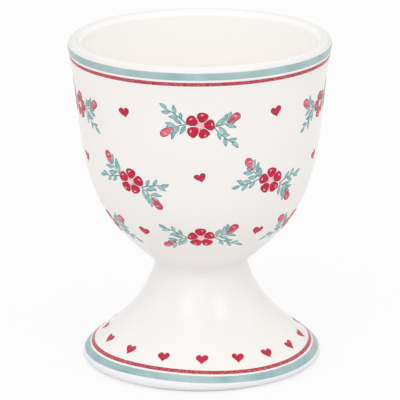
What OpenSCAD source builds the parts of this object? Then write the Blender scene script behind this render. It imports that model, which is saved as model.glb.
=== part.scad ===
// Egg cup in glazed porcelain: a deep bowl luted with slip to a hollow flared foot,
// coated with glaze and decorated over the glaze with bands, hearts and small posies.
// Millimetres. The foot stands on z = 0, the axis of the cup is Z, and the front faces -Y.

/* [Bowl] */
// Height of the whole cup
cup_h = 65; // [58:0.5:76]
// Width of the mouth over the glaze
mouth_d = 51.2; // [47.2:0.2:58]
// Thickness of the wall at the lip, glaze included
wall = 2.6; // [2.2:0.1:3.2]
// Radius of the outer side of the lip
lip_r = 1.2; // [0.9:0.1:1.4]
// Height of the egg well's floor above the corner where the bowl meets the foot
floor_rise = 0.7; // [0.2:0.1:4]

/* [Foot] */
// Width of the foot over the glaze
foot_d = 47.2; // [42:0.2:54]
// Radius of the rounded edge of the foot
foot_edge_r = 0.95; // [0.8:0.05:1.2]
// How far the bare standing ring drops below the glazed edge
ring_drop = 0.3; // [0.2:0.05:0.5]
// Width of the flat standing ring
ring_w = 2.4; // [1.6:0.1:3]
// Height of the hollow under the foot
recess_h = 12.5; // [9:0.5:14]

/* [Neck] */
// Width where the bowl and the foot would meet in a sharp corner
neck_d = 17.6; // [16:0.2:21]
// Height of that corner above the table
neck_z = 20.3; // [19:0.1:21]
// Radius of the fillet of slip round the neck
crease_r = 2.4; // [1.2:0.1:3]
// Thickness of the slip that joins the bowl and the foot
slip_t = 0.4; // [0.3:0.1:0.8]

/* [Coats] */
// Thickness of the glaze
glaze_t = 0.2; // [0.12:0.02:0.3]
// Thickness of the printed enamel
enamel_t = 0.1; // [0.06:0.01:0.16]

/* [Bands] */
// Drop from the lip to the top of the broad rim band
rim_band_drop = 1.1; // [0.7:0.1:1.6]
// Height of the broad rim band
rim_band_w = 1.3; // [0.8:0.1:2]
// Gap between the rim band and the thin line under it
rim_gap = 0.5; // [0.3:0.1:1.2]
// Height of the thin rim line
rim_line_w = 0.7; // [0.3:0.05:0.9]
// Height of the foot band's lower side above the table
foot_band_z = 2; // [1.6:0.1:2.4]
// Height of the broad foot band
foot_band_w = 1; // [0.6:0.1:1.3]
// Gap between the foot band and the thin line over it
foot_gap = 0.25; // [0.2:0.05:0.6]
// Height of the thin foot line
foot_line_w = 0.5; // [0.25:0.05:0.6]

/* [Hearts] */
// Number of hearts round the foot
foot_heart_count = 16; // [10:1:20]
// Width of a heart on the foot
foot_heart_w = 2.5; // [1.6:0.1:2.8]
// Gap in height between the foot line and the hearts over it
foot_heart_gap = 0.9; // [0.4:0.1:1.6]
// Width of a heart on the bowl
bowl_heart_w = 2.4; // [1.8:0.1:3]

/* [Posies] */
// Number of posies in each of the three rows
posy_count = 5; // [3:1:5]
// Width of one petal
petal_d = 2.5; // [1.6:0.1:2.8]
// Width of the round centre of a blossom
centre_d = 1.5; // [0.9:0.1:1.7]
// Length of a bud
bud_l = 3; // [1.8:0.1:3.4]
// Width of a bud
bud_w = 2; // [1.2:0.1:2.3]
// Length of a leaf
leaf_l = 2.4; // [1.6:0.1:2.8]
// Width of a leaf
leaf_w = 1.1; // [0.7:0.05:1.3]
// Width of a stem at its root
stem_w = 0.45; // [0.3:0.05:0.6]
// Length of the stem on each side of a blossom, from the blossom's middle
spray_l = 6; // [5:0.2:6.6]
// Radius that a stem curls along
curl_r = 7; // [5:0.5:12]

/* [Hidden] */
$fn = 48;

// Leans from upright, in degrees: the bowl's side under the lip, the well's side,
// the bowl and the foot where they meet at the neck, and the recess at the standing ring
side_lean = 11;
well_lean = 4;
bowl_neck_lean = 53.7;
foot_neck_lean = 16.1;
recess_lean = 45;
// Angle on the rounded edge of the foot where the upper face of the foot begins
foot_edge_angle = 43;

// How far each curve is pulled along its end directions, as shares of its height or width
side_pull_share = 0.425;
belly_pull_share = 0.5;
waist_pull_share = 0.65;
flare_pull_share = 0.34;
well_side_pull_share = 0.574;
well_floor_pull_share = 0.706;
recess_side_pull_share = 0.75;
recess_top_pull_share = 0.4;

// Bevel between the flat standing ring and the glazed faces beside it
ring_bevel = 0.5;
// Points along a long curve and along a small arc
curve_steps = 28;
arc_steps = 8;
// Shortest step of the skin that a band keeps, and the height over which its lean is felt
least_step = 0.02;
feel = 0.5;
// Clearance between the glaze and the enamel on it
enamel_gap = 0.005;
// How far a printed outline reaches to both sides of the glaze, to be cut out of its coat
print_reach = 4;

// Places of the posies and hearts, as shares of the height between the neck and the rim line
posy_row_shares = [0.804, 0.495, 0.21];
heart_row_shares = [0.84, 0.54, 0.22];
// Tilts of the posies in each row, from the top row down, in degrees
posy_tilts = [-16, 12, -8];
// Places of the leaves along a stem, as shares of its length, and the way they splay
leaf_place_shares = [0.48, 0.58, 0.68, 0.78, 0.88];
leaf_splay = 48;
// Number of petals, and how far they stand out, as a share of their width
petal_count = 5;
petal_reach_share = 0.62;
// Width of a stem's tip as a share of its root
stem_tip_share = 0.5;
// How far a bud runs onto its stem, as a share of its length
bud_root_share = 0.25;

// Paths of points in radius and height
function unit(v) = v / norm(v);
function left_of(v) = [-v.y, v.x];
function heading(from_upright) = [sin(from_upright), cos(from_upright)];
function mirrored(p) = [-p.x, p.y];
function backwards(path) = [for (i = [len(path) - 1:-1:0]) path[i]];
function but_first(path) = [for (i = [1:len(path) - 1]) path[i]];
function but_last(path) = [for (i = [0:len(path) - 2]) path[i]];
function last_of(path) = path[len(path) - 1];

function arc(centre, r, from, to) =
    [for (i = [0:arc_steps])
        let (a = from + (to - from) * i / arc_steps)
        centre + r * [cos(a), sin(a)]];

function curve(a, b, c, d) =
    [for (i = [0:curve_steps])
        let (t = i / curve_steps, u = 1 - t)
        u * u * u * a + 3 * u * u * t * b + 3 * u * t * t * c + t * t * t * d];

// A path moved to its left with mitred corners, with the points that it would run on to
function shifted(path, d, before, after) =
    let (all = concat([before], path, [after]))
    [for (i = [0:len(path) - 1])
        let (u = unit(all[i + 1] - all[i]),
             v = unit(all[i + 2] - all[i + 1]),
             w = unit(u + v))
        path[i] + left_of(w) * d / (w * u)];

// The same for a path that runs straight on past both ends
function shifted_open(path, d) =
    shifted(path, d, 2 * path[0] - path[1],
            2 * last_of(path) - path[len(path) - 2]);

// Glazed outside, from the lower edge of the foot up to the crest of the lip
mouth_r = mouth_d / 2;
foot_r = foot_d / 2;
neck = [neck_d / 2, neck_z];
bowl_way = heading(bowl_neck_lean);
foot_way = heading(180 - foot_neck_lean);

edge_centre = [foot_r - foot_edge_r, foot_edge_r + ring_drop];
foot_edge = arc(edge_centre, foot_edge_r, -90, foot_edge_angle);
edge_top = last_of(foot_edge);
foot_rise = neck_z - edge_top.y;
foot_curve = curve(edge_top,
                   edge_top + heading(-foot_edge_angle) * foot_rise * flare_pull_share,
                   neck + foot_way * foot_rise * waist_pull_share,
                   neck);

lip_centre = [mouth_r - lip_r, cup_h - lip_r];
lip_outside = arc(lip_centre, lip_r, -side_lean, 90);
side_top = lip_outside[0];
bowl_rise = side_top.y - neck_z;
bowl_curve = curve(neck,
                   neck + bowl_way * bowl_rise * belly_pull_share,
                   side_top - heading(side_lean) * bowl_rise * side_pull_share,
                   side_top);

// Fillet in the crease, which ends at the same distance from the corner on both curves
neck_turn = acos(-(bowl_way * foot_way));
crease_l = crease_r * tan(neck_turn / 2);
crease_centre = neck + unit(bowl_way + foot_way) * crease_r / cos(neck_turn / 2);
crease_foot = neck + foot_way * crease_l - crease_centre;
crease_from = atan2(crease_foot.y, crease_foot.x);
crease = arc(crease_centre, crease_r, crease_from, crease_from - neck_turn);

clear_l = crease_l + glaze_t;
foot_side = [for (p = foot_curve) if (norm(p - neck) > clear_l) p];
bowl_side = [for (p = bowl_curve) if (norm(p - neck) > clear_l) p];
outside = concat(but_last(foot_edge), foot_side, crease, but_last(bowl_side), lip_outside);

// Glazed inside, from the crest of the lip down to the floor of the egg well
inner_lip_r = wall - lip_r;
inner_lip = arc([mouth_r - lip_r, cup_h - inner_lip_r], inner_lip_r, 90, 180 + well_lean);
well_top = last_of(inner_lip);
well_floor_z = neck_z + floor_rise;
well_rise = well_top.y - well_floor_z;
well_curve = curve(well_top,
                   well_top - heading(well_lean) * well_rise * well_side_pull_share,
                   [well_top.x * well_floor_pull_share, well_floor_z],
                   [0, well_floor_z]);

// The whole glazed skin, and the clay under it
skin = concat(outside, but_first(inner_lip), but_first(well_curve));
clay = shifted(skin, glaze_t, skin[0] - [foot_edge_r, 0], mirrored(skin[len(skin) - 2]));
crease_at = len(foot_edge) - 1 + len(foot_side);
foot_clay = [for (i = [0:crease_at]) clay[i]];
crease_clay = [for (i = [crease_at:crease_at + arc_steps]) clay[i]];
bowl_clay = [for (i = [crease_at + arc_steps:len(clay) - 1]) clay[i]];

// Round underside of the bowl, and the dish in the top of the foot that it sits in
seat_r = bowl_clay[0].x / cos(bowl_neck_lean);
seat_centre = [0, bowl_clay[0].y + seat_r * sin(bowl_neck_lean)];
underside = but_last(arc(seat_centre, seat_r, -90, -bowl_neck_lean));

dish_r = seat_r + slip_t;
foot_top = last_of(foot_clay);
from_seat = foot_top - seat_centre;
down_way = foot_way * from_seat;
dish_edge = foot_top
    - foot_way * (down_way - sqrt(down_way * down_way - from_seat * from_seat + dish_r * dish_r));
dish_angle = atan2(dish_edge.y - seat_centre.y, dish_edge.x);
dish = arc(seat_centre, dish_r, dish_angle, -90);

// Bare standing ring, and the glazed recess inside it
ring_out = foot_clay[0].x - ring_bevel;
ring_in = ring_out - ring_w;
recess_foot = [ring_in - ring_bevel, ring_bevel];
recess_curve = curve(recess_foot,
                     recess_foot + heading(-recess_lean) * recess_h * recess_side_pull_share,
                     [recess_foot.x * recess_top_pull_share, recess_h],
                     [0, recess_h]);
recess_clay = shifted(recess_curve, -glaze_t,
                      2 * recess_curve[0] - recess_curve[1],
                      mirrored(recess_curve[curve_steps - 1]));

// Heights of the bands on the glazed outside
rim_band_top = cup_h - rim_band_drop;
rim_line_top = rim_band_top - rim_band_w - rim_gap;
rim_line_z = rim_line_top - rim_line_w;
foot_line_z = foot_band_z + foot_band_w + foot_gap;
foot_line_top = foot_line_z + foot_line_w;
print_z = crease[arc_steps].y;
function print_height(share) = print_z + (rim_line_z - print_z) * share;

// The glazed outside as a table of radius by height
skin_table = [for (p = outside) [p.y, p.x]];
function skin_r(z) = lookup(z, skin_table);
function skin_lean(z) = atan((skin_r(z + feel) - skin_r(z - feel)) / (2 * feel));
function stretch(low, high) =
    concat([[skin_r(low), low]],
           [for (p = outside) if (p.y > low + least_step && p.y < high - least_step) p],
           [[skin_r(high), high]]);

// A coat of enamel round the glazed outside between two heights
module enamel(low, high) {
    glazed = stretch(low, high);
    rotate_extrude() polygon(concat(shifted_open(glazed, -enamel_gap),
                                    backwards(shifted_open(glazed, -enamel_gap - enamel_t))));
}

// A flat outline in x and y, aimed squarely at the skin at a height and a turn from the front
module aimed(z, turn) {
    rotate([0, 0, turn]) translate([0, -skin_r(z), z]) rotate([90 + skin_lean(z), 0, 0])
        translate([0, 0, -print_reach]) linear_extrude(2 * print_reach) children();
}

// A heart round its middle: a square on its corner with a half circle on each upper side
heart_side_share = 1 / (1 + sqrt(2) / 2);
heart_h_share = heart_side_share * (3 * sqrt(2) / 4 + 1 / 2);
module heart(w) {
    side = w * heart_side_share;
    lobe = side * sqrt(2) / 4;
    translate([0, -w * heart_h_share / 2])
        polygon(concat([[0, 0]], arc([lobe, 3 * lobe], side / 2, -45, 135),
                       but_first(arc([-lobe, 3 * lobe], side / 2, 45, 225))));
}

// A pointed lens from the origin along x
module lens(l, w) {
    r = (l * l + w * w) / (4 * w);
    intersection() {
        translate([l / 2, r - w / 2]) circle(r);
        translate([l / 2, w / 2 - r]) circle(r);
    }
}

// A stem is an arc that sets off along x and curls to the left. Its leaves stand
// in turn on both sides, and it ends in a bud.
function stem_turn(share) = share * spray_l / curl_r * 180 / PI;
function stem_point(share, side) =
    let (a = stem_turn(share), half = stem_w / 2 * (1 - (1 - stem_tip_share) * share))
    [curl_r * sin(a), curl_r * (1 - cos(a))] + side * half * [-sin(a), cos(a)];
module on_stem(share) {
    translate(stem_point(share, 0)) rotate(stem_turn(share)) children();
}
module stem() {
    polygon(concat([for (i = [0:arc_steps]) stem_point(i / arc_steps, -1)],
                   [for (i = [arc_steps:-1:0]) stem_point(i / arc_steps, 1)]));
}
module stem_leaves() {
    for (i = [0:len(leaf_place_shares) - 1])
        on_stem(leaf_place_shares[i]) rotate(i % 2 == 0 ? leaf_splay : -leaf_splay) lens(leaf_l, leaf_w);
}

// The posy: a blossom with a leafy stem and a bud to each side
module posy_petals() {
    for (i = [0:petal_count - 1])
        rotate(90 + i * 360 / petal_count) translate([petal_d * petal_reach_share, 0]) circle(d = petal_d);
}
module posy_centre() {
    circle(d = centre_d);
}
module to_both_sides() {
    children();
    rotate(180) children();
}
module posy_buds() {
    to_both_sides() on_stem(1) translate([-bud_l * bud_root_share, 0]) lens(bud_l, bud_w);
}
module posy_flowers() {
    posy_petals();
    posy_centre();
    posy_buds();
}
module posy_stems() {
    to_both_sides() stem();
}
module posy_leaves() {
    to_both_sides() stem_leaves();
}

// Rows of posies round the bowl, each row half a step on from the row over it,
// and every second posy turned over
module posy_rows() {
    step = 360 / posy_count;
    for (row = [0:len(posy_row_shares) - 1])
        for (i = [0:posy_count - 1])
            aimed(print_height(posy_row_shares[row]), (i + row % 2 / 2) * step)
                mirror([(i + row) % 2, 0]) rotate(posy_tilts[row]) children();
}
module printed() {
    intersection() {
        enamel(print_z, rim_line_z);
        children();
    }
}

module bowl() {
    color("ivory") rotate_extrude() polygon(concat(underside, bowl_clay));
}

module pedestal() {
    color("ivory") rotate_extrude()
        polygon(concat(foot_clay, dish, backwards(recess_clay), [[ring_in, 0], [ring_out, 0]]));
}

module slip_joint() {
    color("linen") rotate_extrude() polygon(concat(underside, backwards(crease_clay), dish));
}

module glaze_coat() {
    color("white") rotate_extrude() polygon(concat(skin, backwards(clay)));
}

module recess_glaze() {
    color("white") rotate_extrude() polygon(concat(recess_curve, backwards(recess_clay)));
}

module rim_band() {
    color([0.62, 0.77, 0.76]) enamel(rim_band_top - rim_band_w, rim_band_top);
}

module rim_line() {
    color([0.8, 0.16, 0.3]) enamel(rim_line_z, rim_line_top);
}

module foot_band() {
    color([0.62, 0.77, 0.76]) enamel(foot_band_z, foot_band_z + foot_band_w);
}

module foot_line() {
    color([0.8, 0.16, 0.3]) enamel(foot_line_z, foot_line_top);
}

module foot_hearts() {
    half_h = foot_heart_w * heart_h_share / 2;
    tip_z = foot_line_top + foot_heart_gap;
    middle_z = tip_z + half_h * cos(skin_lean(tip_z));
    color([0.8, 0.16, 0.3]) intersection() {
        enamel(foot_line_top, middle_z + foot_heart_w);
        for (i = [0:foot_heart_count - 1])
            aimed(middle_z, i * 360 / foot_heart_count) heart(foot_heart_w);
    }
}

module bowl_hearts() {
    step = 360 / posy_count;
    color([0.8, 0.16, 0.3]) printed()
        for (row = [0:len(heart_row_shares) - 1])
            for (i = [0:posy_count - 1])
                aimed(print_height(heart_row_shares[row]), (i + (row + 1) % 2 / 2) * step)
                    heart(bowl_heart_w);
}

module petals() {
    color([0.8, 0.16, 0.3]) printed() posy_rows() difference() {
        posy_petals();
        posy_centre();
    }
}

module blossom_centres() {
    color([0.97, 0.8, 0.8]) printed() posy_rows() posy_centre();
}

module buds() {
    color([0.9, 0.45, 0.55]) printed() posy_rows() posy_buds();
}

module leaves() {
    color([0.48, 0.7, 0.7]) printed() posy_rows() difference() {
        posy_leaves();
        posy_stems();
        posy_flowers();
    }
}

module stems() {
    color([0.42, 0.64, 0.64]) printed() posy_rows() difference() {
        posy_stems();
        posy_flowers();
    }
}

bowl();
pedestal();
slip_joint();
glaze_coat();
recess_glaze();
rim_band();
rim_line();
foot_band();
foot_line();
foot_hearts();
bowl_hearts();
petals();
blossom_centres();
buds();
leaves();
stems();
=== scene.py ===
# Looks of a glazed porcelain egg cup. The clay, its glaze and the enamels on it are turned or
# drawn as closed meshes on one profile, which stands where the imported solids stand.
import math
import random

import bpy
import numpy as np
from mathutils import Matrix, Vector
from mathutils.geometry import delaunay_2d_cdt


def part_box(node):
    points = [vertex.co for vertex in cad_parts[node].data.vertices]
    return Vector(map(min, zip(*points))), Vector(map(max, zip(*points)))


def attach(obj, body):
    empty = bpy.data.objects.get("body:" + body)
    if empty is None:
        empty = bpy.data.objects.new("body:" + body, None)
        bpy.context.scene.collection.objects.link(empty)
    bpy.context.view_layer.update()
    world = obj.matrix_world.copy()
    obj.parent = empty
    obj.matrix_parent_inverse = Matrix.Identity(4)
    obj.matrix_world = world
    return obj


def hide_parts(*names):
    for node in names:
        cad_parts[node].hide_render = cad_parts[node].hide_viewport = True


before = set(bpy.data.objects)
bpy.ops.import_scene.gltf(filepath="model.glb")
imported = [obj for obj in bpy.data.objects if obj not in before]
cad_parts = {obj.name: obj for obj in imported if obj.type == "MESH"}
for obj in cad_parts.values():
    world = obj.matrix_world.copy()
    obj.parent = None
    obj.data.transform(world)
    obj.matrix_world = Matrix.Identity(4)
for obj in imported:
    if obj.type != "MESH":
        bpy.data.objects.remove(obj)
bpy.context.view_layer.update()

# Millimetres are used throughout, and become metres where a mesh or a lamp is made
MM = 0.001

# Driving sizes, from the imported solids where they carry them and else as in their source
CUP_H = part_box("glaze_coat")[1].z / MM
MOUTH_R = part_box("glaze_coat")[1].x / MM
GLAZE_T = 0.2
FOOT_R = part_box("pedestal")[1].x / MM + GLAZE_T
WALL = 2.6
LIP_R = 1.2
WELL_DEPTH = 44.0
FOOT_EDGE_R = 0.95
RING_DROP = 0.3
RING_W = 2.4
RING_BEVEL = 0.5
RECESS_H = 12.5
NECK_R = 8.8
NECK_Z = 20.3
CREASE_R = 2.4
SLIP_T = 0.4

# Leans from upright, in degrees
SIDE_LEAN = 11
WELL_LEAN = 4
BOWL_NECK_LEAN = 53.7
FOOT_NECK_LEAN = 16.1
RECESS_LEAN = 45
FOOT_EDGE_ANGLE = 43

# Pulls of the curves along their end directions, as shares of their height or width
SIDE_PULL, BELLY_PULL = 0.425, 0.5
WAIST_PULL, FLARE_PULL = 0.65, 0.34
WELL_SIDE_PULL, WELL_FLOOR_PULL = 0.574, 0.706
RECESS_SIDE_PULL, RECESS_TOP_PULL = 0.75, 0.4

# Steps of the meshes: round the cup, along a long curve, along a small arc, across a band
TURNS = 224
CURVE_STEPS = 48
ARC_STEPS = 12
BAND_STEPS = 10
# Angles between faces beyond which an edge stays sharp, in degrees: on clay and glaze, on enamel
SHARP, ENAMEL_SHARP = 40, 80
# Points that fill an outline, in shares of a grain: from row to row, and least way to the outline
ROW_SHARE, CLEAR_SHARE = 0.87, 0.45

# Slow waves of the fired skin: their height, and the length over which they die away at each end
SWELL, SWELL_FADE = 0.03, 6
# Each wave's crests round the cup, share of the height, twist per millimetre of skin and start
SWELL_WAVES = ((2, 1.0, 0.16, 0.0), (3, 0.6, -0.11, 1.3))

# Length below the crest of the lip over which the glaze changes to that of the inside, which is painted
# whiter as painted light
INSIDE_FADE = 1.5
# Lengths outside and inside the crest over which the glaze is painted darker: painted shade that dims the
# bright lip
LIP_FADE, LIP_FADE_IN = 2.4, 1.3
# Depth below the lip at which the painted shade of the well, a darker, warmer white, is full
WELL_SHADE_DEPTH = 11.0
# Glaze pooled in the crease: how far below the neck its middle lies, its full and whole reach up
# and down, and its strength there
POOL_DROP, POOL_FULL, POOL_REACH, POOL_SHARE = 0.4, 0.4, 2.6, 0.15
# Painted cool shade on the foot's edge below its band: height over which it fades, and its strength
FOOT_EDGE_SHADE_FADE, FOOT_EDGE_SHADE_SHARE = 0.6, 0.9

# Enamel: height over the glaze, and how far it is sunk into it
ENAMEL_T = 0.05
ENAMEL_SINK = 0.03
# Width over which the edge of an enamel patch rises, and the share of the height it starts with
ENAMEL_EDGE = 0.12
EDGE_SHARE = 0.3

# Bands, as heights above the table. Those on the foot sit askew, lower towards the right, and
# sway up and down three times round the foot, with a crossing at some degrees from the front.
RIM_BAND = (CUP_H - 2.42, CUP_H - 1.02)
RIM_LINE = (CUP_H - 3.62, CUP_H - 2.9)
FOOT_BAND = (2.02, 3.02)
FOOT_LINE = (3.31, 3.82)
FOOT_SKEW = 0.24
FOOT_SWAY, FOOT_SWAY_AT = 0.29, 5.3
# How far the edges of a broad band and of a thin line wander, and the crests of their waves
BAND_STRAY, LINE_STRAY = 0.05, 0.03
WANDER_CRESTS = (1, 2, 3, 5, 8, 13, 21)

# Hearts and posies
FOOT_HEARTS = 16
FOOT_HEART_W = 2.45
FOOT_HEART_DRIFT, FOOT_HEART_LAG = 6.3, 1.7
FOOT_HEART_SAG, FOOT_HEART_SKEW = 0.2, 0.4
FOOT_HEART_Z = 5.4
BOWL_HEART_W = 2.4
FOOT_HEART_TILT, BOWL_HEART_TILT = 7, 16
# Width of the plain heart curve, its share of height kept, and the tremor as a share of the width
HEART_CURVE_W, HEART_SQUAT, HEART_TREMOR = 32, 0.98, 0.03
POSIES = 5
POSY_ROWS = (0.804, 0.495, 0.21)
HEART_ROWS = (0.84, 0.54, 0.22)
POSY_TILTS = (-16, 12, -8)
LEAF_L, LEAF_W = 2.3, 0.9
# Most that a leaf bends to either side, as a share of its length
LEAF_BEND_SHARE = 0.16
LEAF_PLACES = (0.48, 0.58, 0.68, 0.78, 0.88)
LEAF_SPLAY = 48
STEM_W = 0.45
STEM_TIP = 0.5
# Where a stem leaves the blossom, and the shares of its half width at which its sides lie and stray
STEM_ROOT = 0.42
STEM_SIDE, STEM_STRAY = 0.62, 0.1
SPRAY_L = 6.0
CURL_R = 7.0
PETALS = 5
PETAL_IN, PETAL_OUT, PETAL_W = 0.55, 2.8, 2.8
# Shares of its width that a petal has at its root and gains towards its end
PETAL_ROOT_SHARE, PETAL_GAIN_SHARE = 0.5, 0.55
# Most that a blossom is turned to either side, in degrees
BLOSSOM_TURN = 12
CENTRE_R = 0.75
# Dots in the blossom's middle: share of the centre's radius at which they sit, and their radii
STAMEN_SHARE = 0.58
STAMEN_R = (0.09, 0.13)
BUD_L, BUD_W = 3.0, 2.0
BUD_ROOT = 0.25
SEPAL_L, SEPAL_W = 1.5, 0.6
SEPAL_SPLAY, SEPAL_OFF = 34, 0.12
# Pale strokes: radius, widths on petal and bud, and place on a petal, where 0.5 is its middle
STROKE_R = 0.62
PETAL_STROKE_W, BUD_STROKE_W = 0.34, 0.32
PETAL_STROKE_SHARE = 0.53
# The stroke on a petal: least and most span, and most turn to either side, in degrees
PETAL_STROKE_SPAN, PETAL_STROKE_TURN = (110, 160), 60
# The stroke on a bud: its span and turn in degrees, and its way out from the stem's end
BUD_STROKE_SPAN, BUD_STROKE_TURN = 150, 30
BUD_STROKE_OUT = 0.85
# Fine side twig of each stem: where it leaves, its splay, length, width and leaves
TWIG_ROOT, TWIG_SPLAY = 0.42, 44
TWIG_L, TWIG_BEND, TWIG_W = 4.7, 0.8, 0.26
TWIG_LEAF_PLACES = (0.28, 0.46, 0.64, 0.82)
TWIG_TAPER = 0.4
TWIG_LEAF_L, TWIG_LEAF_W = 1.85, 0.8
TWIG_LEAF_SPLAY = 42
# Points of the outlines: all round a heart and a disc, and along one side of the others
HEART_POINTS, DISC_POINTS = 44, 26
LEAF_STEPS, PETAL_STEPS, STROKE_STEPS, STEM_STEPS, TWIG_STEPS = 15, 17, 13, 22, 14
# Tremor of the outlines in millimetres, but for the leaf's, which is a share of its length
PETAL_TREMOR, CENTRE_TREMOR, STROKE_TREMOR, LEAF_TREMOR = 0.05, 0.04, 0.015, 0.02
# Enamel laid on enamel: how far it is lifted, as shares of the enamel's height
CENTRE_LIFT_SHARE, STROKE_LIFT_SHARE, STAMEN_LIFT_SHARE = 0.3, 0.6, 0.9


def unit(v):
    return v / np.linalg.norm(v)


def heading(lean):
    """The upward direction in radius and height that leans out from upright by some degrees."""
    return np.array([math.sin(math.radians(lean)), math.cos(math.radians(lean))])


def arc(centre, r, start, end):
    a = np.radians(np.linspace(start, end, ARC_STEPS + 1))[:, None]
    return np.asarray(centre) + r * np.hstack([np.cos(a), np.sin(a)])


def curve(a, b, c, d):
    t = np.linspace(0, 1, CURVE_STEPS + 1)[:, None]
    u = 1 - t
    return u**3 * a + 3 * u * u * t * b + 3 * u * t * t * c + t**3 * d


class Path:
    """A smooth path in radius and height, read by the length along it."""

    def __init__(self, points):
        self.points = points
        steps = np.linalg.norm(np.diff(points, axis=0), axis=1)
        self.along = np.concatenate([[0], np.cumsum(steps)])
        tangents = np.gradient(points, self.along, axis=0)
        tangents[np.abs(points[:, 0]) < 1e-9] = (-1, 0)
        self.normals = np.stack([tangents[:, 1], -tangents[:, 0]], -1)

    def at(self, s, lift=0.0):
        """Radius and height at a length, moved out of the clay by the lift."""
        r = np.interp(s, self.along, self.points[:, 0])
        z = np.interp(s, self.along, self.points[:, 1])
        nr = np.interp(s, self.along, self.normals[:, 0])
        nz = np.interp(s, self.along, self.normals[:, 1])
        size = np.hypot(nr, nz)
        return r + lift * nr / size, z + lift * nz / size


def outside_path():
    """The glazed outside from the foot's lower edge to the crest of the lip, and the number of
    the point at which its crease begins."""
    neck = np.array([NECK_R, NECK_Z])
    bowl_way, foot_way = heading(BOWL_NECK_LEAN), heading(180 - FOOT_NECK_LEAN)
    foot_edge = arc((FOOT_R - FOOT_EDGE_R, FOOT_EDGE_R + RING_DROP), FOOT_EDGE_R, -90, FOOT_EDGE_ANGLE)
    foot_rise = NECK_Z - foot_edge[-1][1]
    foot = curve(foot_edge[-1], foot_edge[-1] + heading(-FOOT_EDGE_ANGLE) * foot_rise * FLARE_PULL,
                 neck + foot_way * foot_rise * WAIST_PULL, neck)
    lip = arc((MOUTH_R - LIP_R, CUP_H - LIP_R), LIP_R, -SIDE_LEAN, 90)
    bowl_rise = lip[0][1] - NECK_Z
    bowl = curve(neck, neck + bowl_way * bowl_rise * BELLY_PULL,
                 lip[0] - heading(SIDE_LEAN) * bowl_rise * SIDE_PULL, lip[0])
    turn = math.degrees(math.acos(-(bowl_way @ foot_way)))
    reach = CREASE_R * math.tan(math.radians(turn / 2))
    centre = neck + unit(bowl_way + foot_way) * CREASE_R / math.cos(math.radians(turn / 2))
    start = neck + foot_way * reach - centre
    start_angle = math.degrees(math.atan2(start[1], start[0]))
    crease = arc(centre, CREASE_R, start_angle, start_angle - turn)
    clear = reach + GLAZE_T
    foot = foot[np.linalg.norm(foot - neck, axis=1) > clear]
    bowl = bowl[np.linalg.norm(bowl - neck, axis=1) > clear]
    return np.vstack([foot_edge[:-1], foot, crease, bowl[:-1], lip]), len(foot_edge) - 1 + len(foot)


def inside_path():
    """The glazed inside from the crest of the lip to the middle of the well's floor."""
    r = WALL - LIP_R
    lip = arc((MOUTH_R - LIP_R, CUP_H - r), r, 90, 180 + WELL_LEAN)
    floor_z = CUP_H - WELL_DEPTH
    rise = lip[-1][1] - floor_z
    well = curve(lip[-1], lip[-1] - heading(WELL_LEAN) * rise * WELL_SIDE_PULL,
                 np.array([lip[-1][0] * WELL_FLOOR_PULL, floor_z]), np.array([0, floor_z]))
    return np.vstack([lip[1:], well[1:]])


OUTSIDE, CREASE_AT = outside_path()
SKIN = Path(np.vstack([OUTSIDE, inside_path()]))
CREST_S = SKIN.along[len(OUTSIDE) - 1]
PRINT_Z = OUTSIDE[CREASE_AT + ARC_STEPS][1]


def s_at(z):
    """Length along the skin at a height of the outside."""
    return float(np.interp(z, OUTSIDE[:, 1], SKIN.along[:len(OUTSIDE)]))


def print_z(share):
    """Height of a printed row, as a share of the way from the neck to the rim line."""
    return PRINT_Z + (RIM_LINE[0] - PRINT_Z) * share


def swell(turn, s):
    """How far the fired skin strays from true: slow waves that twist as they climb."""
    fade = np.clip((CREST_S - s) / SWELL_FADE, 0, 1) * np.clip(s / SWELL_FADE, 0, 1)
    waves = [share * np.sin(crests * turn + twist * s + start)
             for crests, share, twist, start in SWELL_WAVES]
    return SWELL * fade * sum(waves)


def on_skin(turn, s, lift=0.0):
    """Points in metres on the skin, at turns from the front and lengths along the profile."""
    r, z = SKIN.at(s, lift + swell(turn, s))
    return np.stack([r * np.sin(turn), -r * np.cos(turn), z + 0 * r], -1) * MM


ROUND = np.linspace(0, 2 * math.pi, TURNS, endpoint=False)


def skin_ring(s, lift=0.0):
    return on_skin(ROUND, np.full(TURNS, s), lift)


def true_ring(r, z):
    return np.stack([r * np.sin(ROUND), -r * np.cos(ROUND), np.full(TURNS, z)], -1) * MM


def pole(z):
    return np.array([[0, 0, z]]) * MM


def make_mesh(name, points, faces, body="root", sharp=SHARP):
    """A smooth-shaded piece that rides on a body."""
    mesh = bpy.data.meshes.new(name)
    mesh.from_pydata([tuple(p) for p in points], [], faces)
    mesh.validate()
    mesh.polygons.foreach_set("use_smooth", [True] * len(mesh.polygons))
    mesh.set_sharp_from_angle(angle=math.radians(sharp))
    piece = bpy.data.objects.new(name, mesh)
    bpy.context.scene.collection.objects.link(piece)
    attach(piece, body)
    return piece


def mark(piece, label, values):
    """Gives each point of a piece a number that its paint can read."""
    layer = piece.data.attributes.new(label, "FLOAT", "POINT")
    layer.data.foreach_set("value", np.asarray(values, np.float32))


def turned(name, rings, sharp=SHARP):
    """A closed mesh through rings in order, the last joined to the first. A pole is a ring of one."""
    starts = np.concatenate([[0], np.cumsum([len(r) for r in rings])])
    faces = []
    for k, ring in enumerate(rings):
        after = (k + 1) % len(rings)
        a, b = int(starts[k]), int(starts[after])
        for i in range(TURNS):
            j = (i + 1) % TURNS
            if len(ring) > 1 and len(rings[after]) > 1:
                faces.append((a + i, a + j, b + j, b + i))
            elif len(ring) > 1:
                faces.append((a + i, a + j, b))
            elif len(rings[after]) > 1:
                faces.append((a, b + j, b + i))
    return make_mesh(name, np.vstack(rings), faces, sharp=sharp)


# Clay, slip and glaze

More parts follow.
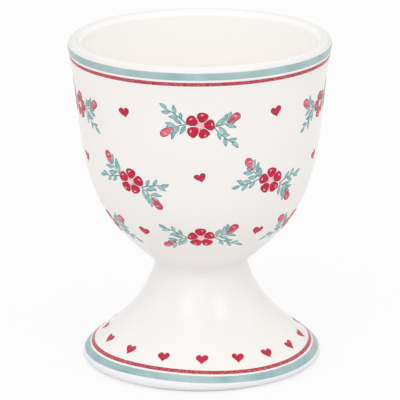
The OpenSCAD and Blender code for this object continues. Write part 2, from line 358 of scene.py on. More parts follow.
def seat():
    """The round underside of the bowl: the height of its centre and its radius."""
    r, z = SKIN.at(SKIN.along[CREASE_AT + ARC_STEPS], -GLAZE_T)
    radius = r / math.cos(math.radians(BOWL_NECK_LEAN))
    return z + radius * math.sin(math.radians(BOWL_NECK_LEAN)), radius


def clay_rings(first, last):
    """Rings of the clay under the skin, from one of its points to another, the poles left out."""
    return [skin_ring(SKIN.along[i], -GLAZE_T) for i in range(first, last)]


def arc_rings(centre_z, radius, start, end, keep_last=True):
    """Rings along an arc round a centre on the axis, with a pole where it meets the axis."""
    points = arc((0, centre_z), radius, start, end)
    if not keep_last:
        points = points[:-1]
    return [pole(z) if abs(r) < 1e-9 else true_ring(r, z) for r, z in points]


def build_bowl():
    centre_z, radius = seat()
    last = len(SKIN.points) - 1
    rings = arc_rings(centre_z, radius, -90, -BOWL_NECK_LEAN, keep_last=False)
    rings += clay_rings(CREASE_AT + ARC_STEPS, last)
    rings.append(pole(SKIN.points[last][1] - GLAZE_T))
    return turned("bowl_clay", rings)


def dish_edge():
    """Angle round the seat's centre at which the dish in the foot's top meets its outside."""
    centre_z, radius = seat()
    r, z = SKIN.at(SKIN.along[CREASE_AT], -GLAZE_T)
    way = heading(180 - FOOT_NECK_LEAN)
    start = np.array([float(r), float(z) - centre_z])
    down = way @ start
    edge = start - way * (down - math.sqrt(down**2 - start @ start + (radius + SLIP_T) ** 2))
    return math.degrees(math.atan2(edge[1], edge[0]))


def recess_path():
    ring_in = FOOT_R - FOOT_EDGE_R - RING_BEVEL - RING_W
    foot = np.array([ring_in - RING_BEVEL, RING_BEVEL])
    top = np.array([0, RECESS_H])
    return Path(curve(foot, foot + heading(-RECESS_LEAN) * RECESS_H * RECESS_SIDE_PULL,
                      np.array([foot[0] * RECESS_TOP_PULL, RECESS_H]), top))


RECESS = recess_path()


def recess_rings(lift):
    """Rings of the recess from the standing ring to its top, moved into the hollow by the lift."""
    r, z = RECESS.at(RECESS.along, -lift)
    rings = [true_ring(a, b) for a, b in zip(r[:-1], z[:-1])]
    return rings + [pole(RECESS_H - lift)]


def build_pedestal():
    centre_z, radius = seat()
    ring_out = FOOT_R - FOOT_EDGE_R - RING_BEVEL
    rings = clay_rings(0, CREASE_AT + 1)
    rings += arc_rings(centre_z, radius + SLIP_T, dish_edge(), -90)
    rings += recess_rings(-GLAZE_T)[::-1]
    rings += [true_ring(ring_out - RING_W, 0), true_ring(ring_out, 0)]
    return turned("pedestal_clay", rings)


def build_slip():
    centre_z, radius = seat()
    rings = arc_rings(centre_z, radius, -90, -BOWL_NECK_LEAN, keep_last=False)
    rings += clay_rings(CREASE_AT, CREASE_AT + ARC_STEPS + 1)[::-1]
    rings += arc_rings(centre_z, radius + SLIP_T, dish_edge(), -90)
    return turned("slip_layer", rings)


def build_glaze():
    last = len(SKIN.points) - 1
    floor_z = SKIN.points[last][1]
    rings = [skin_ring(SKIN.along[i]) for i in range(last)]
    rings += [pole(floor_z), pole(floor_z - GLAZE_T)]
    rings += clay_rings(0, last)[::-1]
    piece = turned("glaze_skin", rings)
    past = SKIN.along[:last] - CREST_S
    # Masks for the paint: the inside, painted whiter as painted light, and the crest, painted darker as
    # painted shade
    inside = np.repeat(np.clip(past / INSIDE_FADE, 0, 1), TURNS)
    mark(piece, "inside", np.concatenate([inside, [1, 1], inside[::-1]]))
    crest = np.repeat(np.clip(1 - np.maximum(past / LIP_FADE_IN, -past / LIP_FADE), 0, 1), TURNS)
    mark(piece, "crest", np.concatenate([crest, [0, 0], crest[::-1]]))
    return piece


def build_recess_glaze():
    return turned("recess_glaze_skin", recess_rings(0) + recess_rings(-GLAZE_T)[::-1])


def enamel_rise(depth):
    """Height of enamel over the glaze, at a depth in from the edge of its patch."""
    return ENAMEL_T * (EDGE_SHARE + (1 - EDGE_SHARE) * np.clip(depth / ENAMEL_EDGE, 0, 1))


# Enamel bands

def wobble(seed, size):
    """A slow, closed wander round the cup, of about the given size in millimetres."""
    draw = random.Random(seed)
    waves = [(k, draw.uniform(0.4, 1) / k**0.5, draw.uniform(0, 2 * math.pi)) for k in WANDER_CRESTS]
    total = sum(amount * np.sin(k * ROUND + start) for k, amount, start in waves)
    return size * total / np.abs(total).max()


def foot_drift():
    """How far the bands on the foot stray along the skin, all the way round."""
    return FOOT_SWAY * np.sin(3 * (math.radians(FOOT_SWAY_AT) - ROUND)) - FOOT_SKEW * np.sin(ROUND)


def build_band(name, heights, seed, stray, drift=0.0):
    """A brushed band between two heights, with rounded, slightly wandering edges."""
    low = s_at(heights[0]) + wobble(seed, stray) + drift
    high = s_at(heights[1]) + wobble(seed + 1, stray) + drift
    section = [(0.0, -ENAMEL_SINK)]
    for k in range(BAND_STEPS + 1):
        share = k / BAND_STEPS
        section.append((share, enamel_rise(min(share, 1 - share) * (heights[1] - heights[0]))))
    section.append((1.0, -ENAMEL_SINK))
    rings = [on_skin(ROUND, low + (high - low) * share, lift) for share, lift in section]
    return turned(name, rings, sharp=ENAMEL_SHARP)


# Enamel motifs, drawn flat in millimetres and laid on the skin

class Stamp:
    """Gathers patches of one enamel: filled outlines laid on the skin as thin closed solids."""

    def __init__(self, name, lift=0.0, grain=0.24):
        self.name, self.lift, self.grain = name, lift, grain
        self.points, self.faces, self.rim, self.tone, self.mid = [], [], [], [], []
        self.count = 0

    def add(self, outline, place, tone, across=None):
        """Lays one outline at a place. Across gives each point's side distance from a midline."""
        flat, triangles, edges = filled(outline, self.grain)
        depth = distance_to(flat, outline)
        top = place(flat, self.lift + enamel_rise(depth))
        under = place(flat, np.full(len(flat), -ENAMEL_SINK))
        n, k = len(flat), self.count
        self.points += [top, under]
        self.faces += [(a + k, b + k, c + k) for a, b, c in triangles]
        self.faces += [(c + k + n, b + k + n, a + k + n) for a, b, c in triangles]
        self.faces += [(a + k + n, b + k + n, b + k, a + k) for a, b in edges]
        middle = np.abs(across(flat)) if across else depth
        for target, values in ((self.rim, depth), (self.mid, middle), (self.tone, np.full(n, tone))):
            target += [values, values]
        self.count += 2 * n

    def build(self):
        piece = make_mesh(self.name, np.vstack(self.points), self.faces, sharp=ENAMEL_SHARP)
        for label, values in (("rim", self.rim), ("mid", self.mid), ("tone", self.tone)):
            mark(piece, label, np.concatenate(values))
        return piece


def distance_to(points, outline):
    """Distance of each point from a closed outline."""
    best = np.full(len(points), 1e9)
    for a, b in zip(outline, np.roll(outline, -1, axis=0)):
        way = b - a
        t = np.clip(((points - a) @ way) / max(way @ way, 1e-12), 0, 1)
        best = np.minimum(best, np.linalg.norm(points - (a + t[:, None] * way), axis=1))
    return best


def inside_of(points, outline):
    """Which points lie inside a closed outline."""
    inside = np.zeros(len(points), bool)
    for (ax, ay), (bx, by) in zip(outline, np.roll(outline, -1, axis=0)):
        if ay == by:
            continue
        crosses = (ay > points[:, 1]) != (by > points[:, 1])
        inside ^= crosses & (points[:, 0] < (bx - ax) * (points[:, 1] - ay) / (by - ay) + ax)
    return inside


def filled(outline, grain):
    """Triangles that fill an outline, with points inside it about a grain apart."""
    low, high = outline.min(0), outline.max(0)
    rows = []
    for k, y in enumerate(np.arange(low[1], high[1] + grain, grain * ROW_SHARE)):
        xs = np.arange(low[0] + (k % 2) * grain / 2, high[0] + grain, grain)
        rows.append(np.stack([xs, np.full(len(xs), y)], -1))
    loose = np.vstack(rows)
    loose = loose[inside_of(loose, outline)]
    loose = loose[distance_to(loose, outline) > grain * CLEAR_SHARE]
    border = [(i, (i + 1) % len(outline)) for i in range(len(outline))]
    flat, _, faces, *_ = delaunay_2d_cdt(
        [tuple(p) for p in np.vstack([outline, loose])], border, [], 1, 1e-6)
    flat = np.array([tuple(p) for p in flat])
    triangles = []
    for face in faces:
        a, b, c = face[:3]
        u, v = flat[b] - flat[a], flat[c] - flat[a]
        triangles.append((a, b, c) if u[0] * v[1] - u[1] * v[0] > 0 else (a, c, b))
    seen = {}
    for a, b, c in triangles:
        for edge in ((a, b), (b, c), (c, a)):
            seen[edge] = True
    edges = [edge for edge in seen if (edge[1], edge[0]) not in seen]
    return flat, triangles, edges


def placed(turn, z, tilt=0.0, flip=1.0, skew=0.0):
    """A function that lays flat points in millimetres on the skin round a turn and a height."""
    cos, sin = math.cos(math.radians(tilt)), math.sin(math.radians(tilt))
    start = s_at(z) - skew * math.sin(math.radians(turn))

    def lay(flat, lift):
        x = flip * (cos * flat[:, 0] - sin * flat[:, 1])
        y = sin * flat[:, 0] + cos * flat[:, 1]
        r, _ = SKIN.at(start + y)
        return on_skin(math.radians(turn) + x / r, start + y, lift)

    return lay


def spun(points, degrees, move=(0, 0)):
    a = math.radians(degrees)
    turn = np.array([[math.cos(a), math.sin(a)], [-math.sin(a), math.cos(a)]])
    return points @ turn + np.asarray(move)


def hand(points, draw, size):
    """An outline with the small tremor of a hand."""
    a = np.linspace(0, 2 * math.pi, len(points), endpoint=False)
    out = np.zeros(len(points))
    for k in (2, 3, 5, 7):
        out += draw.uniform(-1, 1) * np.sin(k * a + draw.uniform(0, 2 * math.pi)) / math.sqrt(k)
    middle = points.mean(0)
    spoke = points - middle
    return points + size * out[:, None] * spoke / np.maximum(np.linalg.norm(spoke, axis=1), 1e-6)[:, None]


def heart_outline(width, draw):
    """A heart round its middle, with one lobe a little fuller than the other."""
    t = np.linspace(0, 2 * math.pi, HEART_POINTS, endpoint=False)
    x = 16 * np.sin(t) ** 3
    y = 13 * np.cos(t) - 5 * np.cos(2 * t) - 2 * np.cos(3 * t) - np.cos(4 * t)
    y = y - (y.max() + y.min()) / 2
    lean = draw.uniform(-0.12, 0.12)
    x = x * (1 + lean * np.sign(x)) + draw.uniform(-0.06, 0.06) * y
    outline = np.stack([x, y * HEART_SQUAT], -1) * width / HEART_CURVE_W
    return hand(outline, draw, HEART_TREMOR * width)


def build_foot_hearts():
    stamp = Stamp("foot_heart_prints")
    draw = random.Random(11)
    for i in range(FOOT_HEARTS):
        turn = i * 360 / FOOT_HEARTS
        side = math.sin(math.radians(turn))
        place = placed(turn - FOOT_HEART_DRIFT * side**2 - FOOT_HEART_LAG * side,
                       FOOT_HEART_Z - FOOT_HEART_SAG * side**2,
                       draw.uniform(-FOOT_HEART_TILT, FOOT_HEART_TILT), skew=FOOT_HEART_SKEW)
        stamp.add(heart_outline(FOOT_HEART_W, draw), place, draw.random())
    return stamp.build()


def build_bowl_hearts():
    stamp = Stamp("bowl_heart_prints")
    draw = random.Random(23)
    step = 360 / POSIES
    for row, share in enumerate(HEART_ROWS):
        for i in range(POSIES):
            turn = (i + (row + 1) % 2 / 2) * step
            place = placed(turn, print_z(share), draw.uniform(-BOWL_HEART_TILT, BOWL_HEART_TILT))
            stamp.add(heart_outline(BOWL_HEART_W * draw.uniform(0.92, 1.05), draw), place, draw.random())
    return stamp.build()


def leaf_outline(length, width, draw):
    """A leaf from its root along x: round-bodied, pointed and slightly bent."""
    t = np.linspace(0, 1, LEAF_STEPS)
    half = width / 2 * np.sin(math.pi * t ** draw.uniform(0.8, 1.05)) ** 0.9
    bend = draw.uniform(-LEAF_BEND_SHARE, LEAF_BEND_SHARE) * length
    mid = np.stack([length * t, bend * 2 * t * (1 - t)], -1)
    upper = mid + np.stack([0 * t, half], -1)
    lower = mid - np.stack([0 * t, half], -1)
    return hand(np.vstack([lower, upper[-2:0:-1]]), draw, LEAF_TREMOR * length)


def drop_outline(start, end, width, draw):
    """A petal along x: narrow at the heart of the blossom and full and round outside."""
    t = np.linspace(0, 1, PETAL_STEPS)
    round_half = width / 2 * np.sqrt(np.clip(1 - (2 * t - 1) ** 2, 0, 1))
    half = round_half * (PETAL_ROOT_SHARE + PETAL_GAIN_SHARE * t)
    x = start + (end - start) * t
    outline = np.vstack([np.stack([x, -half], -1), np.stack([x[::-1], half[::-1]], -1)[1:-1]])
    return hand(outline, draw, PETAL_TREMOR)


def crescent_outline(radius, span, thick, draw):
    """A pale brush stroke: a thin crescent about the origin that opens towards -x."""
    a = np.radians(np.linspace(-span / 2, span / 2, STROKE_STEPS))
    ways = np.stack([np.cos(a), np.sin(a)], -1)
    outer = radius * ways
    inner = (radius - thick * np.cos(a / math.radians(span) * math.pi))[:, None] * ways
    return hand(np.vstack([outer, inner[-2:0:-1]]), draw, STROKE_TREMOR)


def stem_point(share, side=0.0):
    """A point beside the stem's middle line, and the stem's heading there in degrees."""
    a = share * SPRAY_L / CURL_R
    half = STEM_W / 2 * (1 - (1 - STEM_TIP) * share)
    at = np.array([CURL_R * math.sin(a), CURL_R * (1 - math.cos(a))])
    return at + side * half * np.array([-math.sin(a), math.cos(a)]), math.degrees(a)


def stem_outline(draw):
    shares = np.linspace(STEM_ROOT, 1, STEM_STEPS)
    low = [stem_point(s, -STEM_SIDE - STEM_STRAY * draw.random())[0] for s in shares]
    high = [stem_point(s, STEM_SIDE + STEM_STRAY * draw.random())[0] for s in shares[::-1]]
    return np.array(low + high)


class Posy:
    """The stamps of all the posies, and the drawing of one posy at a place."""

    def __init__(self):
        self.petals = Stamp("petal_prints")
        self.lights = Stamp("petal_lights", lift=ENAMEL_T * STROKE_LIFT_SHARE, grain=0.16)
        self.centres = Stamp("blossom_centre_prints", lift=ENAMEL_T * CENTRE_LIFT_SHARE)
        self.stamens = Stamp("stamen_dots", lift=ENAMEL_T * STAMEN_LIFT_SHARE, grain=0.14)
        self.buds = Stamp("bud_prints")
        self.leaves = Stamp("leaf_prints", grain=0.17)
        self.stems = Stamp("stem_prints", grain=0.3)

    def blossom(self, place, draw):
        start = draw.uniform(-BLOSSOM_TURN, BLOSSOM_TURN)
        for i in range(PETALS):
            way = 90 + start + i * 360 / PETALS
            end = PETAL_OUT * draw.uniform(0.93, 1.05)
            petal = drop_outline(PETAL_IN, end, PETAL_W * draw.uniform(0.92, 1.0), draw)
            self.petals.add(spun(petal, way), place, draw.random())
            middle = spun(np.array([[(PETAL_IN + end) * PETAL_STROKE_SHARE, 0]]), way)[0]
            stroke = crescent_outline(STROKE_R, draw.uniform(*PETAL_STROKE_SPAN), PETAL_STROKE_W, draw)
            turn = way + draw.uniform(-PETAL_STROKE_TURN, PETAL_STROKE_TURN)
            self.lights.add(spun(stroke, turn, middle), place, draw.random())
        disc = np.radians(np.linspace(0, 360, DISC_POINTS, endpoint=False))[:, None]
        ring = np.hstack([np.cos(disc), np.sin(disc)])
        self.centres.add(hand(ring * CENTRE_R, draw, CENTRE_TREMOR), place, draw.random())
        for i in range(PETALS + 1):
            out = CENTRE_R * STAMEN_SHARE if i else 0
            at = spun(np.array([[out, 0]]), i * 360 / PETALS + start)[0]
            self.stamens.add(ring[::3] * draw.uniform(*STAMEN_R) + at, place, draw.random())

    def spray(self, place, draw, around):
        """One leafy stem with a bud, set off at an angle round the blossom."""
        self.stems.add(spun(stem_outline(draw), around), place, draw.random())
        for i, share in enumerate(LEAF_PLACES):
            side = 1 if i % 2 == 0 else -1
            at, way = stem_point(share, side)
            size = draw.uniform(0.85, 1.08)
            leaf = leaf_outline(LEAF_L * size, LEAF_W * draw.uniform(0.85, 1.1), draw)
            splay = side * LEAF_SPLAY * draw.uniform(0.8, 1.15)
            self.leaves.add(spun(spun(leaf, way + splay, at), around), place, draw.random(),
                            across=midline(at, way + splay, around))
        self.twig(place, draw, around)
        self.bud(place, draw, around)

    def twig(self, place, draw, around):
        """A fine twig on the outer side of a stem, with leaves in turn and one at its tip."""
        at, way = stem_point(TWIG_ROOT)
        way -= TWIG_SPLAY * draw.uniform(0.9, 1.1)
        length = TWIG_L * draw.uniform(0.9, 1.05)

        def middle(share):
            return np.array([length * share, TWIG_BEND * share * (share - 1)])

        shares = np.linspace(0, 1, TWIG_STEPS)
        half = TWIG_W / 2 * (1 - TWIG_TAPER * shares)
        line = np.array([middle(t) for t in shares])
        sides = np.stack([0 * half, half], -1)
        outline = np.vstack([line - sides, (line + sides)[::-1]])
        self.stems.add(spun(spun(outline, way, at), around), place, draw.random())
        leaves = [(t, TWIG_LEAF_SPLAY * (1 if i % 2 else -1)) for i, t in enumerate(TWIG_LEAF_PLACES)]
        leaves.append((1.0, 0))
        for share, splay in leaves:
            root = at + spun(middle(share)[None], way)[0]
            turn = way + splay * draw.uniform(0.8, 1.15)
            size = draw.uniform(0.85, 1.1)
            leaf = leaf_outline(TWIG_LEAF_L * size, TWIG_LEAF_W * size, draw)
            self.leaves.add(spun(spun(leaf, turn, root), around), place, draw.random(),
                            across=midline(root, turn, around))

    def bud(self, place, draw, around):
        at, way = stem_point(1.0)
        back = -BUD_L * BUD_ROOT
        body = drop_outline(back, back + BUD_L, BUD_W, draw)
        self.buds.add(spun(spun(body, way, at), around), place, draw.random())
        stroke = crescent_outline(STROKE_R, BUD_STROKE_SPAN, BUD_STROKE_W, draw)
        spot = at + spun(np.array([[BUD_STROKE_OUT, 0]]), way)[0]
        self.lights.add(spun(spun(stroke, way + BUD_STROKE_TURN, spot), around), place, draw.random())
        for side in (-1, 1):
            sepal = leaf_outline(SEPAL_L, SEPAL_W, draw)
            spot = at + spun(np.array([[back, SEPAL_OFF * side]]), way)[0]
            turn = way + SEPAL_SPLAY * side
            self.leaves.add(spun(spun(sepal, turn, spot), around), place, draw.random(),
                            across=midline(spot, turn, around))

    def build(self):
        return [s.build() for s in (self.petals, self.lights, self.centres, self.stamens,
                                    self.buds, self.leaves, self.stems)]


def midline(at, way, around):
    """Side distance from the line that leaves a point on a spray, which is turned round the blossom."""
    def across(flat):
        local = spun(flat, -around) - at
        return spun(local, -way)[:, 1]
    return across


def build_posies():
    posy = Posy()
    draw = random.Random(5)
    step = 360 / POSIES
    for row, share in enumerate(POSY_ROWS):
        for i in range(POSIES):
            flip = -1 if (i + row) % 2 else 1
            place = placed((i + row % 2 / 2) * step, print_z(share), POSY_TILTS[row], flip)
            posy.spray(place, draw, 0)
            posy.spray(place, draw, 180)
            posy.blossom(place, draw)
    return posy.build()


# Materials

class Paint:
    """A material and short ways to add nodes to it. Noise is in object space, in millimetres."""

    def __init__(self, name):
        self.material = bpy.data.materials.new(name)
        self.material.use_nodes = True
        self.tree = self.material.node_tree
        self.shader = self.tree.nodes["Principled BSDF"]
        self.place = self.node("ShaderNodeTexCoord").outputs["Object"]

    def node(self, kind, **values):
        made = self.tree.nodes.new(kind)
        for key, value in values.items():
            setattr(made, key, value)
        return made

    def link(self, source, target):
        self.tree.links.new(source, target)

    def noise(self, size, detail=3.0, rough=0.55, seed=0.0):
        """Noise from 0 to 1 with features of about a size in millimetres."""
        shift = self.node("ShaderNodeVectorMath", operation="ADD")
        self.link(self.place, shift.inputs[0])
        shift.inputs[1].default_value = (seed, seed * 0.7, seed * 1.3)
        made = self.node("ShaderNodeTexNoise")
        made.inputs["Scale"].default_value = 1 / (size * MM)
        made.inputs["Detail"].default_value = detail
        made.inputs["Roughness"].default_value = rough
        self.link(shift.outputs[0], made.inputs["Vector"])
        return made.outputs["Fac"]

    def ramp(self, source, low, high, out_low=0.0, out_high=1.0):
        """The source's stretch from low to high, spread over the stretch of the result."""
        made = self.node("ShaderNodeMapRange", clamp=True)
        self.link(source, made.inputs["Value"])
        ends = {"From Min": low, "From Max": high, "To Min": out_low, "To Max": out_high}
        for key, value in ends.items():
            made.inputs[key].default_value = value
        return made.outputs["Result"]

    def math(self, kind, a, b):
        made = self.node("ShaderNodeMath", operation=kind)
        for k, value in enumerate((a, b)):
            if isinstance(value, (int, float)):
                made.inputs[k].default_value = value
            else:
                self.link(value, made.inputs[k])
        return made.outputs[0]

    def mix(self, share, a, b):
        """A colour between two colours or colour sockets."""
        made = self.node("ShaderNodeMix", data_type="RGBA")
        if isinstance(share, (int, float)):
            made.inputs["Factor"].default_value = share
        else:
            self.link(share, made.inputs["Factor"])
        for key, value in (("A", a), ("B", b)):
            socket = [s for s in made.inputs if s.name == key and s.type == "RGBA"][0]
            if isinstance(value, tuple):
                socket.default_value = (*value, 1)
            else:
                self.link(value, socket)
        return [s for s in made.outputs if s.type == "RGBA"][0]

    def attribute(self, label):
        return self.node("ShaderNodeAttribute", attribute_name=label).outputs["Fac"]

    def height(self):
        """Height above the table, in millimetres."""
        split = self.node("ShaderNodeSeparateXYZ")
        self.link(self.place, split.inputs[0])
        return self.math("MULTIPLY", split.outputs["Z"], 1 / MM)

    def bump(self, source, depth):
        """Relief of a depth in millimetres."""
        made = self.node("ShaderNodeBump")
        made.inputs["Strength"].default_value = 1.0
        made.inputs["Distance"].default_value = depth * MM
        self.link(source, made.inputs["Height"])
        self.link(made.outputs["Normal"], self.shader.inputs["Normal"])

    def colour(self, source):
        self.link(source, self.shader.inputs["Base Color"])

    def roughness(self, source):
        self.link(source, self.shader.inputs["Roughness"])

    def fixed(self, **values):
        for key, value in values.items():
            self.shader.inputs[key.replace("_", " ")].default_value = value


# Colours, in linear light, and refraction
GLAZE_WHITE = (0.898, 0.871, 0.850)
GLAZE_CREAM = (0.883, 0.848, 0.818)
# Cool white: the glaze where it pools in the crease, and the painted shade on the foot's edge
GLAZE_COOL = (0.828, 0.842, 0.868)
# Painted light inside the cup near the lip, and painted shade deeper in the well
GLAZE_INSIDE_LIT = (0.998, 0.992, 0.972)
GLAZE_WELL_SHADED = (0.985, 0.955, 0.932)
# Painted shade over the crest of the lip
GLAZE_LIP_SHADED = (0.852, 0.826, 0.806)
TEAL = (0.258, 0.418, 0.430)
TEAL_PALE = (0.445, 0.582, 0.588)
TEAL_THIN = (0.318, 0.468, 0.475)
TEAL_THIN_PALE = (0.440, 0.588, 0.592)
TEAL_DEEP = (0.21, 0.37, 0.355)
RED = (0.50, 0.003, 0.034)
RED_DEEP = (0.37, 0.002, 0.022)
RED_PALE = (0.60, 0.012, 0.065)
RED_SOFT = (0.60, 0.040, 0.110)
RED_LINE = (0.44, 0.014, 0.056)
PINK = (0.76, 0.25, 0.31)
PINK_PALE = (0.88, 0.62, 0.63)
LEAF = (0.20, 0.43, 0.42)
LEAF_PALE = (0.44, 0.60, 0.61)
LEAF_DEEP = (0.072, 0.26, 0.25)
BISQUE = (0.80, 0.765, 0.705)
BISQUE_DARK = (0.60, 0.56, 0.51)
GLAZE_IOR = 1.5
ENAMEL_IOR = 1.37


def glaze_paint(name):
    """Warm white glaze: mottled, with sparse specks, cooler where it pools in the crease, and with
    painted light and shade:
    cooler and darker round the foot's edge, whiter inside near the lip, darker deeper in the well, duller
    over the lip."""
    paint = Paint(name)
    mottle = paint.ramp(paint.noise(size=14, detail=2), 0.35, 0.65)
    colour = paint.mix(paint.math("MULTIPLY", mottle, 0.5), GLAZE_WHITE, GLAZE_CREAM)
    from_crease = paint.math("ABSOLUTE", paint.math("SUBTRACT", paint.height(), NECK_Z - POOL_DROP), 0)
    pooled = paint.ramp(from_crease, POOL_FULL, POOL_REACH, POOL_SHARE, 0.0)
    colour = paint.mix(pooled, colour, GLAZE_COOL)
    # Painted shade: the foot's edge below its band is painted cooler and darker
    foot_edge_shade = paint.ramp(paint.height(), FOOT_BAND[0], FOOT_BAND[0] + FOOT_EDGE_SHADE_FADE, FOOT_EDGE_SHADE_SHARE, 0.0)
    colour = paint.mix(foot_edge_shade, colour, GLAZE_COOL)
    # Painted light and shade inside: whiter near the lip, darker and warmer deeper in the well
    deep = paint.ramp(paint.height(), CUP_H - WELL_SHADE_DEPTH, CUP_H - LIP_FADE, 1.0, 0.0)
    colour = paint.mix(paint.attribute("inside"), colour, paint.mix(deep, GLAZE_INSIDE_LIT, GLAZE_WELL_SHADED))
    # Painted shade: the crest of the lip painted darker
    colour = paint.mix(paint.ramp(paint.attribute("crest"), 0.0, 0.6), colour, GLAZE_LIP_SHADED)
    speck = paint.ramp(paint.noise(size=0.45, detail=1, seed=3), 0.795, 0.83, 0.0, 0.22)
    colour = paint.mix(speck, colour, BISQUE_DARK)
    paint.colour(colour)
    paint.roughness(paint.ramp(paint.noise(size=5, detail=3, seed=7), 0.3, 0.7, 0.10, 0.19))
    ripple = paint.math("MULTIPLY", paint.noise(size=0.9, detail=1, seed=2), 0.25)
    waves = paint.math("ADD", paint.noise(size=3.2, detail=1, seed=1), ripple)
    paint.bump(waves, depth=0.012)
    paint.fixed(IOR=GLAZE_IOR)
    return paint.material


def bisque_paint(name):
    """Bare fired clay: fine grain, warm, with grey scuffs where it has stood."""
    paint = Paint(name)
    grain = paint.noise(size=0.25, detail=4, rough=0.7)
    colour = paint.mix(paint.ramp(grain, 0.3, 0.7, 0.0, 0.35), BISQUE, BISQUE_DARK)
    scuff = paint.ramp(paint.noise(size=2.2, detail=3, rough=0.6, seed=4), 0.55, 0.72, 0.0, 0.5)
    low = paint.ramp(paint.height(), 0.05, 0.3, 1.0, 0.0)
    paint.colour(paint.mix(paint.math("MULTIPLY", scuff, low), colour, BISQUE_DARK))
    paint.roughness(paint.ramp(grain, 0.3, 0.7, 0.75, 0.95))
    paint.bump(grain, depth=0.03)
    return paint.material


def enamel_paint(name, base, pale, deep, spread=6.0, speckle=0.5, bare=0.0):
    """Brushed enamel: slow changes of strength, a fine deep speckle, and specks of bare glaze."""
    paint = Paint(name)
    slow = paint.ramp(paint.noise(size=spread, detail=3, seed=5), 0.32, 0.68)
    colour = paint.mix(slow, base, pale)
    fine = paint.ramp(paint.noise(size=0.22, detail=2, rough=0.7, seed=6), 0.5, 0.72, 0.0, speckle)
    colour = paint.mix(fine, colour, deep)
    if bare:
        gaps = paint.ramp(paint.noise(size=0.16, detail=2, rough=0.7, seed=10), 0.54, 0.66, 0.0, bare)
        colour = paint.mix(gaps, colour, GLAZE_WHITE)
    paint.colour(colour)
    paint.roughness(paint.ramp(paint.noise(size=2, detail=2, seed=8), 0.3, 0.7, 0.16, 0.27))
    paint.bump(paint.noise(size=0.4, detail=2, seed=9), depth=0.006)
    paint.fixed(IOR=ENAMEL_IOR)
    return paint.material


def motif_paint(name, base, pale, deep, edge=0.09, tones=0.5, vein=False):
    """Enamel of a small motif, drawn darker at its rim and along a vein, each in its own tone."""
    paint = Paint(name)
    wash = paint.ramp(paint.noise(size=0.8, detail=2, seed=12), 0.35, 0.65, 0.0, 0.5)
    tone = paint.math("MULTIPLY", paint.attribute("tone"), tones)
    colour = paint.mix(paint.math("ADD", wash, tone), base, pale)
    tremor = paint.ramp(paint.noise(size=0.35, detail=2, seed=13), 0.3, 0.7, 0.4, 1.5)
    reach = paint.math("MULTIPLY", tremor, edge)
    within = paint.math("DIVIDE", paint.attribute("rim"), reach)
    rim = paint.math("SUBTRACT", 1.0, paint.ramp(within, 0.5, 1.3))
    colour = paint.mix(paint.math("MULTIPLY", rim, 0.8), colour, deep)
    if vein:
        line = paint.ramp(paint.attribute("mid"), 0.04, 0.11, 0.75, 0.0)
        colour = paint.mix(line, colour, deep)
    paint.colour(colour)
    paint.roughness(paint.ramp(paint.noise(size=1.5, detail=2, seed=14), 0.3, 0.7, 0.18, 0.3))
    paint.bump(paint.noise(size=0.3, detail=2, seed=15), depth=0.006)
    paint.fixed(IOR=ENAMEL_IOR)
    return paint.material


def finish(piece, material, slot, *nodes):
    piece.data.materials.append(material)
    if nodes:
        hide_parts(*nodes)


def build_object():
    clay, glaze = bisque_paint("bisque"), glaze_paint("glaze")
    teal = enamel_paint("teal_enamel", TEAL, TEAL_PALE, TEAL_DEEP, speckle=0.25)
    thin_teal = enamel_paint("thin_teal_enamel", TEAL_THIN, TEAL_THIN_PALE, TEAL_DEEP, speckle=0.25)
    red = enamel_paint("red_enamel", RED_LINE, RED, RED_DEEP, spread=2.5, speckle=0.4, bare=0.55)
    finish(build_bowl(), clay, "bisque", "bowl")
    finish(build_pedestal(), clay, "bisque", "pedestal")
    finish(build_slip(), clay, "slip", "slip_joint")
    finish(build_glaze(), glaze, "glaze", "glaze_coat")
    finish(build_recess_glaze(), glaze, "glaze", "recess_glaze")
    rim_band = build_band("rim_band_print", RIM_BAND, 31, BAND_STRAY)
    finish(rim_band, thin_teal, "teal_enamel", "rim_band")
    rim_line = build_band("rim_line_print", RIM_LINE, 33, LINE_STRAY)
    finish(rim_line, red, "red_enamel", "rim_line")
    foot_band = build_band("foot_band_print", FOOT_BAND, 35, BAND_STRAY, foot_drift())
    finish(foot_band, teal, "teal_enamel", "foot_band")
    foot_line = build_band("foot_line_print", FOOT_LINE, 37, LINE_STRAY, foot_drift())
    finish(foot_line, red, "red_enamel", "foot_line")
    heart = motif_paint("heart_enamel", RED, RED_SOFT, RED_DEEP, edge=0.08, tones=0.3)
    petal = motif_paint("petal_enamel", RED, RED_PALE, RED_DEEP, edge=0.08, tones=0.3)
    bud = motif_paint("bud_enamel", RED_PALE, PINK, RED, edge=0.16, tones=0.35)
    light = motif_paint("light_enamel", PINK_PALE, PINK, PINK, edge=0.04, tones=0.4)
    centre = motif_paint("centre_enamel", PINK_PALE, PINK_PALE, PINK, edge=0.1, tones=0.3)
    leaf = motif_paint("leaf_enamel", LEAF, LEAF_PALE, LEAF_DEEP, edge=0.13, tones=0.8, vein=True)
    stem = motif_paint("stem_enamel", LEAF, LEAF_PALE, LEAF_DEEP, edge=0.05, tones=0.5)
    finish(build_foot_hearts(), heart, "red_enamel", "foot_hearts")
    finish(build_bowl_hearts(), heart, "red_enamel", "bowl_hearts")
    petals, lights, centres, stamens, buds, leaves, stems = build_posies()
    finish(petals, petal, "red_enamel", "petals")
    finish(lights, light, "pale_enamel")
    finish(centres, centre, "pale_enamel", "blossom_centres")
    finish(stamens, petal, "red_enamel")
    finish(buds, bud, "pink_enamel", "buds")
    finish(leaves, leaf, "leaf_enamel", "leaves")
    finish(stems, stem, "leaf_enamel", "stems")


# Camera, lamps and floor, in metres

CAMERA_AWAY, CAMERA_UP, CAMERA_SIDE = 0.600, 0.20815, -0.00016
CAMERA_DOWN, CAMERA_ROLL = 16.365, -0.377
FOCAL_PIXELS, PICTURE_PIXELS, SENSOR_W = 3178.8, 400, 36.0
